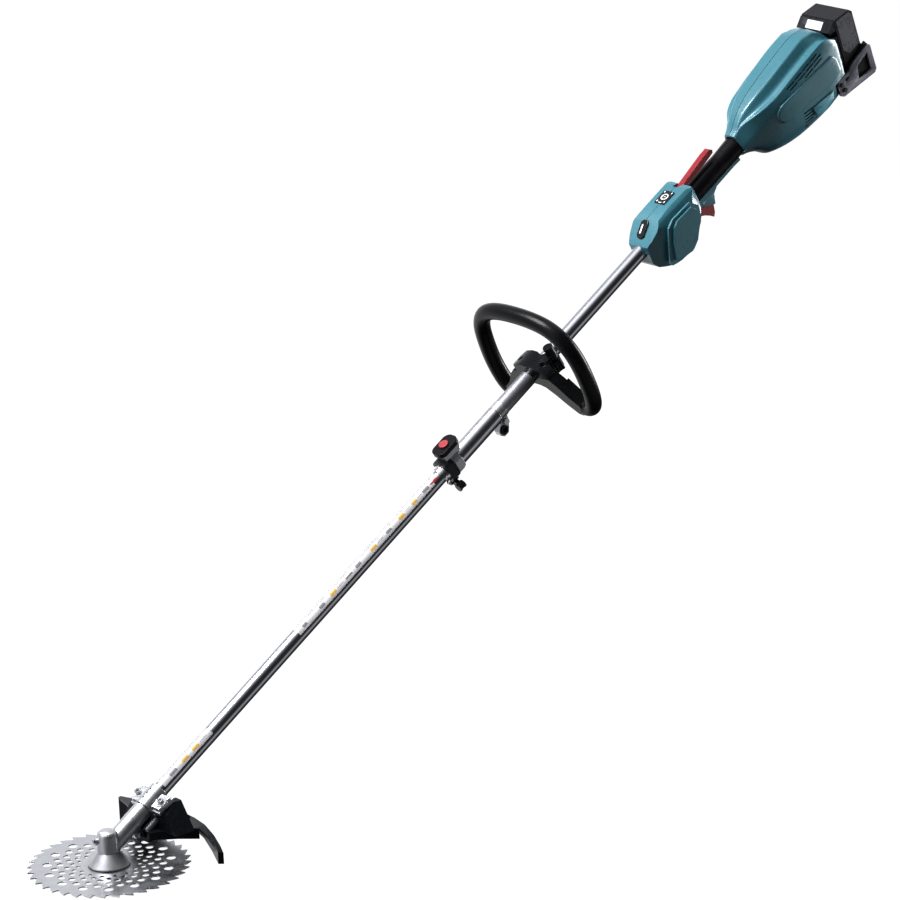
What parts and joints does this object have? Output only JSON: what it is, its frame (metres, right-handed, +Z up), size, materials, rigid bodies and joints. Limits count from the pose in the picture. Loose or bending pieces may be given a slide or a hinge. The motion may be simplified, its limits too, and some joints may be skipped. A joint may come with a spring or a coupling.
{
  "type": "brush cutter",
  "caption": "Battery brush cutter with a toothed disc blade on a bevel gear head, split pipe with quick joint, loop handle, trigger grip and rear motor with slide-on battery",
  "frame": {"origin": "centre of the flat underside of the rest cup below the blade, on the spindle axis", "axes": "+Z up along the blade spindle, +X from the blade back toward the motor in plan, Y across the tool"},
  "size_m": [1.8225, 0.262, 1.0794],
  "materials": {
    "light_plastic": "moulded",
    "battery_plastic": "moulded",
    "grey_coat": "coated",
    "black_plastic": "moulded",
    "cast_alloy": "cast, lightly blasted",
    "bright_steel": "turned",
    "board_green": "potted board",
    "dark_cast": "painted casting",
    "teal_plastic": "moulded, fine grain",
    "black_gloss": "gloss",
    "black_rubber": "soft touch",
    "pipe_alloy": "anodised",
    "red_plastic": "moulded",
    "winding": "winding and laminations",
    "blade_steel": "satin, punched",
    "grey_plate": "zinc plate, painted"
  },
  "bodies": {
    "frame": {"battery_dock": "black_plastic", "bearing_box": "cast_alloy", "bearings": "bright_steel", "bracket_screws": "bright_steel", "circuit_boards": "board_green", "control_housing_left": "teal_plastic", "control_housing_right": "teal_plastic", "cross_bolts": "bright_steel", "display_panel": "black_gloss", "gear_case": "cast_alloy", "grease_plug": "bright_steel", "grip": "black_rubber", "grip_frame": "teal_plastic", "guard": "black_plastic", "guard_bracket": "grey_coat", "guard_clamp": "cast_alloy", "handle_base": "black_plastic", "handle_cap": "black_plastic", "hanger": "cast_alloy", "hanger_bush": "black_plastic", "joint_body": "cast_alloy", "joint_clamp": "dark_cast", "joint_collar": "cast_alloy", "joint_sleeve": "pipe_alloy", "lock_plate": "black_plastic", "loop_handle": "black_rubber", "lower_pipe": "pipe_alloy", "motor_frame": "cast_alloy", "motor_housing_left": "teal_plastic", "motor_housing_right": "teal_plastic", "motor_stator": "winding", "pipe_cover": "grey_coat", "pivot_pins": "bright_steel", "rear_bumper": "black_plastic", "shaft_bushes": "black_plastic", "side_brackets": "grey_plate", "side_cover": "teal_plastic", "socket_bolts": "bright_steel", "switch_unit": "black_plastic", "upper_pipe": "pipe_alloy"},
    "blade_set": {"saw_blade": "blade_steel", "blade_washers": "bright_steel", "rest_cup": "black_gloss", "blade_nut": "bright_steel", "output_spindle": "bright_steel", "bevel_gear": "bright_steel"},
    "drive_line": {"bevel_pinion": "bright_steel", "lower_drive_shaft": "bright_steel", "upper_drive_shaft": "bright_steel", "motor_rotor": "bright_steel"},
    "trigger_body": {"trigger": "red_plastic"},
    "lock_off_body": {"lock_off_lever": "red_plastic"},
    "power_button_body": {"power_button": "black_gloss"},
    "release_button_body": {"release_button": "red_plastic"},
    "clamp_lever_body": {"clamp_lever": "dark_cast"},
    "knob_body": {"handle_knob": "black_plastic"},
    "battery": {"battery_case": "battery_plastic", "battery_cells": "grey_coat"},
    "battery_latch": {"battery_button": "light_plastic"}
  },
  "joints": [
    {"name": "blade_spin", "type": "hinge", "parent": "frame", "child": "blade_set", "pos_m": [0, 0, 0.018], "axis": [0, 0, 1], "continuous": true},
    {"name": "drive_spin", "type": "hinge", "parent": "frame", "child": "drive_line", "pos_m": [0, 0, 0.045], "axis": [0.8572, 0, 0.515], "continuous": true},
    {"name": "trigger_pull", "type": "hinge", "parent": "frame", "child": "trigger_body", "pos_m": [1.30917, 0, 0.8048], "axis": [0, -1, 0], "range_deg": [0, 6], "stiffness_Nm_per_rad": 0.6},
    {"name": "lock_off_press", "type": "hinge", "parent": "frame", "child": "lock_off_body", "pos_m": [1.26825, 0, 0.83504], "axis": [0, 1, 0], "range_deg": [0, 6], "stiffness_Nm_per_rad": 0.6},
    {"name": "power_press", "type": "slide", "parent": "frame", "child": "power_button_body", "axis": [0.866, 0, -0.5], "range_m": [0, 0.0012], "stiffness_N_per_m": 600},
    {"name": "joint_release", "type": "slide", "parent": "frame", "child": "release_button_body", "axis": [0.515, 0, -0.8572], "range_m": [0, 0.003], "stiffness_N_per_m": 600},
    {"name": "clamp_lever_turn", "type": "hinge", "parent": "frame", "child": "clamp_lever_body", "pos_m": [0.73864, 0.004, 0.46024], "axis": [0.8572, 0, 0.515], "range_deg": [0, 60]},
    {"name": "handle_knob_turn", "type": "hinge", "parent": "frame", "child": "knob_body", "pos_m": [0.94957, -0.0275, 0.61206], "axis": [-0.515, 0, 0.8572], "continuous": true},
    {"name": "battery_slide", "type": "slide", "parent": "frame", "child": "battery", "axis": [-0.3256, 0, 0.9455], "range_m": [0, 0.12]},
    {"name": "battery_unlatch", "type": "slide", "parent": "battery", "child": "battery_latch", "axis": [0.8569, 0, -0.5155], "range_m": [0, 0.0018], "stiffness_N_per_m": 600}
  ],
  "couplings": [
    {"joint": "drive_spin", "follows": "blade_spin", "ratio": -1.3636}
  ]
}
